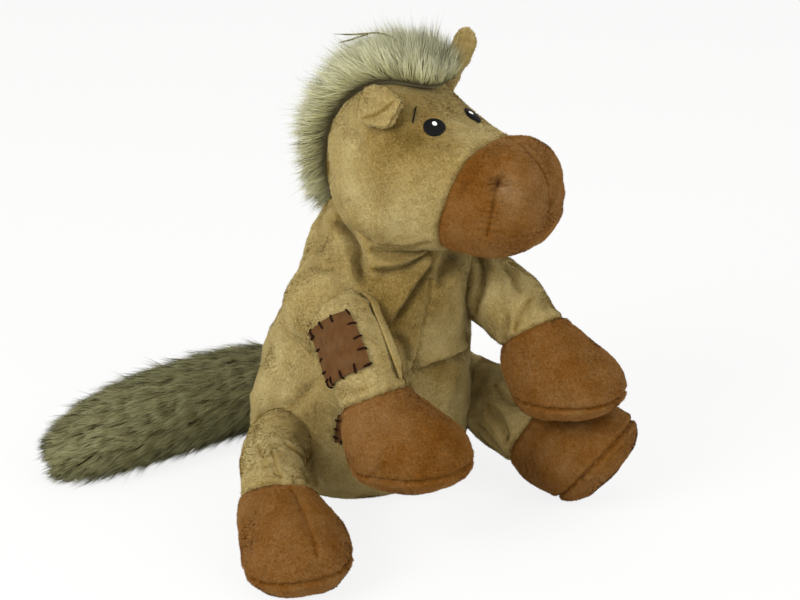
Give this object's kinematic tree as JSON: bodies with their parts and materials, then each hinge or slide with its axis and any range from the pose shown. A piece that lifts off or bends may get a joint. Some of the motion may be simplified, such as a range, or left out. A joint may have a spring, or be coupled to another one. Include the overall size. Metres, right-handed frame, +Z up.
{
  "type": "seated plush horse",
  "caption": "Seated stuffed toy horse with a big round muzzle, puffy hooves, long-pile mane and tail, a folded ear and sewn patches.",
  "frame": {"origin": "middle of the flat seat under the trunk, at floor height", "axes": "+Z up; the toy faces -Y and its left side is +X"},
  "size_m": [0.2491, 0.2275, 0.249],
  "materials": {
    "minky": "short olive-tan plush pile",
    "hoof_minky": "short rust-brown plush pile",
    "suede": "brown suede cloth",
    "mane_pile": "long grey-green pile",
    "tail_pile": "long dark grey-green pile",
    "filling": "loose white polyester fibre",
    "pellet_bag": "woven bag of plastic pellets",
    "eye_thread": "black satin embroidery thread"
  },
  "bodies": {
    "trunk": {"body_skin": "minky", "body_stuffing": "filling", "bean_pouch": "pellet_bag", "belly_patch": "suede"},
    "neck_body": {"neck": "minky"},
    "head": {"head_skin": "minky", "muzzle_skin": "hoof_minky", "head_stuffing": "filling", "mane": "mane_pile", "eye_left": "eye_thread", "eye_right": "eye_thread"},
    "ear_left": {"ear_left_back": "minky", "ear_left_lining": "minky"},
    "ear_right": {"ear_right_back": "minky", "ear_right_lining": "minky"},
    "arm_left": {"arm_left_skin": "minky", "arm_left_stuffing": "filling", "fore_hoof_left": "hoof_minky", "fore_sole_left": "hoof_minky"},
    "arm_right": {"arm_right_skin": "minky", "arm_right_stuffing": "filling", "fore_hoof_right": "hoof_minky", "fore_sole_right": "hoof_minky", "sleeve_patch": "suede"},
    "leg_left": {"leg_left_skin": "minky", "leg_left_stuffing": "filling", "hind_hoof_left": "hoof_minky", "hind_sole_left": "hoof_minky"},
    "leg_right": {"leg_right_skin": "minky", "leg_right_stuffing": "filling", "hind_hoof_right": "hoof_minky", "hind_sole_right": "hoof_minky"},
    "tail_body": {"tail": "tail_pile"}
  },
  "joints": [
    {"name": "head_turn", "type": "hinge", "parent": "trunk", "child": "neck_body", "pos_m": [0.007, -0.019, 0.132], "axis": [0, 0, 1], "range_deg": [-25, 25]},
    {"name": "head_nod", "type": "hinge", "parent": "neck_body", "child": "head", "pos_m": [0.007, -0.019, 0.142], "axis": [0.9384, 0.3416, -0.0523], "range_deg": [-12, 4]},
    {"name": "ear_left_flop", "type": "hinge", "parent": "head", "child": "ear_left", "pos_m": [0.03877, -0.02249, 0.21023], "axis": [0.4938, -0.8645, -0.0933], "range_deg": [-25, 25]},
    {"name": "ear_right_flop", "type": "hinge", "parent": "head", "child": "ear_right", "pos_m": [-0.00824, -0.0396, 0.21285], "axis": [-0.1691, 0.9827, 0.0752], "range_deg": [-8, 25]},
    {"name": "arm_left_swing", "type": "hinge", "parent": "trunk", "child": "arm_left", "pos_m": [0.05233, -0.02228, 0.112], "axis": [-1, 0, 0], "range_deg": [0, 25]},
    {"name": "arm_right_swing", "type": "hinge", "parent": "trunk", "child": "arm_right", "pos_m": [-0.04205, -0.02228, 0.112], "axis": [-1, 0, 0], "range_deg": [0, 50]},
    {"name": "leg_left_swing", "type": "hinge", "parent": "trunk", "child": "leg_left", "pos_m": [0.05876, -0.02197, 0.04], "axis": [0, 0, 1], "range_deg": [0, 30]},
    {"name": "leg_right_swing", "type": "hinge", "parent": "trunk", "child": "leg_right", "pos_m": [-0.05827, -0.02197, 0.04], "axis": [0, 0, -1], "range_deg": [0, 30]},
    {"name": "tail_swing", "type": "hinge", "parent": "trunk", "child": "tail_body", "pos_m": [0.00189, 0.05363, 0.024], "axis": [0, 0, 1], "range_deg": [-25, 2]}
  ]
}
